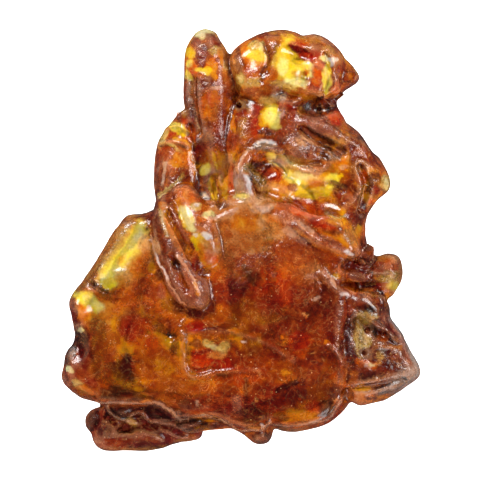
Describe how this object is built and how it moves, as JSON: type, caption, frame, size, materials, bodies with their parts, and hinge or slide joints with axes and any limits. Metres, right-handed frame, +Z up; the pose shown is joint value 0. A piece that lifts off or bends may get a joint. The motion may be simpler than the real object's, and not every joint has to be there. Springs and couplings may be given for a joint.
{
  "type": "copal with insects",
  "caption": "Knobbly lump of clear amber-coloured copal with small insects sealed in it, lying on its back.",
  "frame": {"origin": "middle of the box around the lump, on the surface that it rests on", "axes": "+Z up out of the smooth front face, +Y along the lump towards its drip-shaped spike, +X to the right of somebody looking down on the face"},
  "size_m": [0.0719, 0.0847, 0.0346],
  "materials": {
    "copal": "clear amber-coloured resin, polished wet-looking on the face and rough in the hollows",
    "insect_shell": "dark brown insect shell"
  },
  "bodies": {
    "root": {"copal_front": "copal", "copal_back": "copal", "bee": "insect_shell", "gnat": "insect_shell", "beetle": "insect_shell", "ant": "insect_shell", "termite": "insect_shell"}
  },
  "joints": []
}
